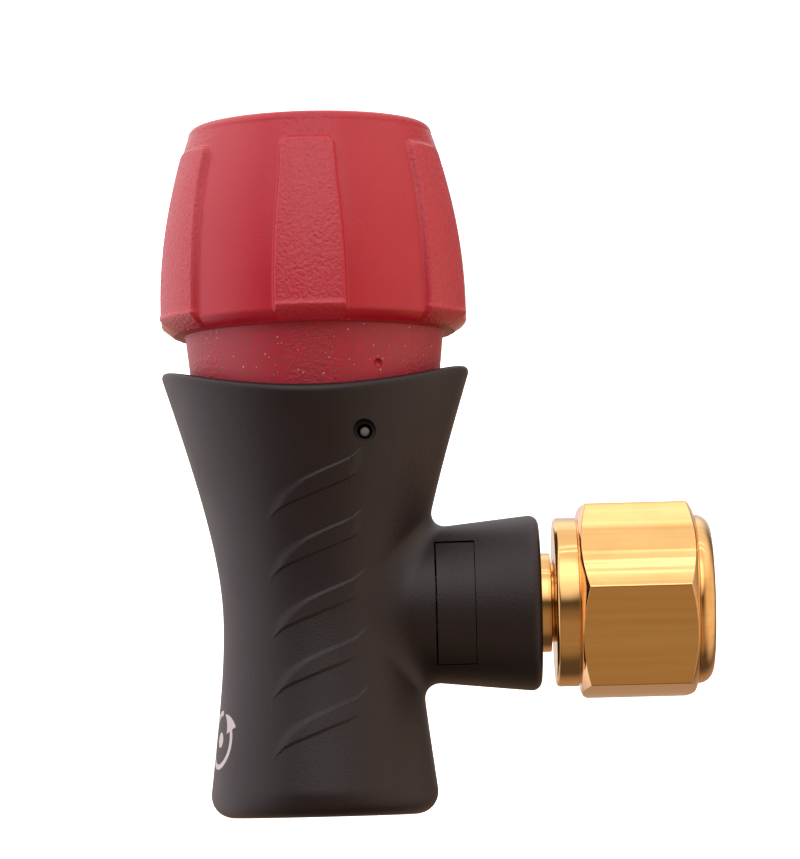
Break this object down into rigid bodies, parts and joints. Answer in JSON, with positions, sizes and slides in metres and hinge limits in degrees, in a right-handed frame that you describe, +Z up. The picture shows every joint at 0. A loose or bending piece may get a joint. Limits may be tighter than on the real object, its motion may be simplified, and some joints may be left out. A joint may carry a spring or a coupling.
{
  "type": "cartridge tyre inflator head",
  "caption": "Hand-held gas cartridge inflator head: waisted moulded grip with a ribbed screw-down valve knob on top and a swivelling hexagonal valve chuck on a side arm.",
  "frame": {"origin": "on the cartridge axis, in the plane of the base that it stands on", "axes": "+Z up the cartridge and knob axis, +X along the outlet arm towards the valve chuck's mouth, +Y to the back"},
  "size_m": [0.0442, 0.0256, 0.0562],
  "materials": {
    "grip_plastic": "moulded nylon, fine satin grain",
    "knob_plastic": "moulded nylon, orange-peel grain",
    "gold_aluminium": "turned, polished and gold anodised",
    "brass": "turned brass",
    "spring_steel": "bright spring steel",
    "rubber": "moulded nitrile rubber",
    "nylon": "natural nylon",
    "sintered_bronze": "sintered, dull"
  },
  "bodies": {
    "housing": {"grip_shell": "grip_plastic", "valve_block": "brass", "locking_pin": "spring_steel", "piercing_needle": "spring_steel", "cartridge_seal": "rubber", "filter_disc": "sintered_bronze", "valve_seat": "nylon", "return_spring": "spring_steel", "stop_ring": "spring_steel", "outlet_stem": "gold_aluminium", "stem_o_ring": "rubber", "swivel_o_ring": "rubber", "stem_key": "grip_plastic", "depressor_spring": "spring_steel"},
    "plunger": {"valve_plunger": "spring_steel", "plunger_o_ring_lower": "rubber", "plunger_o_ring_upper": "rubber", "plunger_clip": "spring_steel", "thrust_washer": "nylon"},
    "knob": {"knob": "knob_plastic", "knob_insert": "brass"},
    "chuck": {"chuck_shell": "gold_aluminium", "chuck_snap_ring": "spring_steel", "chuck_seal": "rubber"},
    "depressor": {"core_depressor": "brass"}
  },
  "joints": [
    {"name": "plunger_slide", "type": "slide", "parent": "housing", "child": "plunger", "axis": [0, 0, 1], "range_m": [-0.0018, 0], "deforming": ["return_spring"]},
    {"name": "knob_turn", "type": "hinge", "parent": "plunger", "child": "knob", "pos_m": [0, 0, 0.047], "axis": [0, 0, 1], "range_deg": [-432, 0]},
    {"name": "chuck_spin", "type": "hinge", "parent": "housing", "child": "chuck", "pos_m": [0.025, 0, 0.0168], "axis": [1, 0, 0], "continuous": true},
    {"name": "depressor_push", "type": "slide", "parent": "housing", "child": "depressor", "axis": [-1, 0, 0], "range_m": [0, 0.001], "stiffness_N_per_m": 300, "springref_m": -0.0005, "deforming": ["depressor_spring"]}
  ],
  "couplings": [
    {"joint": "knob_turn", "follows": "plunger_slide", "rad_per_m": 4188.8}
  ]
}
